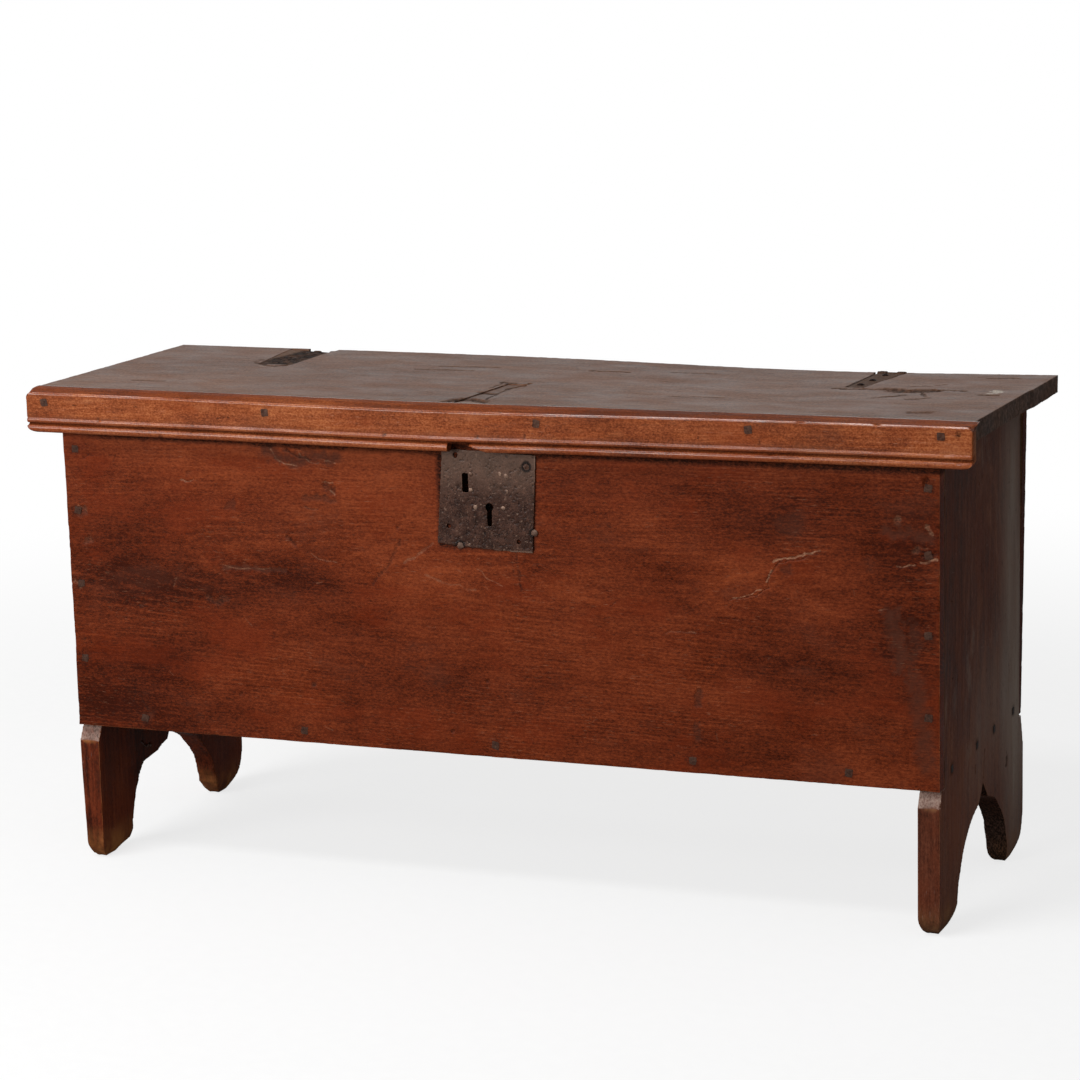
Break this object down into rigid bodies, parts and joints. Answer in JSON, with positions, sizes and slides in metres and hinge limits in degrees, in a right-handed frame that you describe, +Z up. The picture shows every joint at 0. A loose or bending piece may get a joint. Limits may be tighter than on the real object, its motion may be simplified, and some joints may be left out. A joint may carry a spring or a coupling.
{
  "type": "blanket chest",
  "caption": "Old six-board storage chest with a hinged one-board lid, a moulded front lip, iron strap hinges, an iron lock plate and end boards cut out into feet.",
  "frame": {"origin": "on the floor, in the middle of the whole chest's box in plan", "axes": "+X along the chest to its right seen from the front, -Y to the front, +Z up"},
  "size_m": [1.116, 0.3916, 0.56],
  "materials": {
    "front_wood": "old oiled pine, red-brown, scratched, horizontal grain",
    "end_wood": "old oiled pine, dark brown, vertical grain, worn paler at the feet",
    "lid_wood": "weathered grey-brown pine, scratched and stained",
    "moulding_wood": "old oiled pine, orange-brown, rubbed along its beads",
    "back_wood": "old bare pine, grey-brown",
    "bottom_wood": "old bare pine, grey-brown",
    "hinge_iron": "hand-wrought iron, dark brown, pitted",
    "plate_iron": "hand-wrought iron plate, dark brown, pitted and scratched",
    "works_iron": "hand-wrought iron, dark brown, worn bright where it slides",
    "nail_iron": "hand-wrought iron, nearly black, heads rubbed bright"
  },
  "bodies": {
    "case": {"front_board": "front_wood", "left_end_board": "end_wood", "right_end_board": "end_wood", "back_board": "back_wood", "bottom_board": "bottom_wood", "left_hinge_plate": "hinge_iron", "right_hinge_plate": "hinge_iron", "left_hinge_pin": "hinge_iron", "right_hinge_pin": "hinge_iron", "lock_plate": "plate_iron", "lock_rivets": "plate_iron", "bolt_guides": "works_iron", "bolt_spring": "works_iron", "key_bridge": "works_iron", "front_board_nails": "nail_iron", "back_board_nails": "nail_iron", "left_end_nails": "nail_iron", "right_end_nails": "nail_iron", "lock_plate_nails": "nail_iron", "left_hinge_plate_nails": "nail_iron", "right_hinge_plate_nails": "nail_iron"},
    "lid": {"lid_board": "lid_wood", "lid_front_moulding": "moulding_wood", "moulding_nails": "nail_iron", "left_hinge_strap": "hinge_iron", "right_hinge_strap": "hinge_iron", "left_strap_nails": "nail_iron", "right_strap_nails": "nail_iron"},
    "bolt": {"lock_bolt": "works_iron"}
  },
  "joints": [
    {"name": "lid_hinge", "type": "hinge", "parent": "case", "child": "lid", "pos_m": [0, 0.1895, 0.5516], "axis": [-1, 0, 0], "range_deg": [0, 105]},
    {"name": "bolt_slide", "type": "slide", "parent": "case", "child": "bolt", "axis": [-1, 0, 0], "range_m": [0, 0.009]}
  ]
}
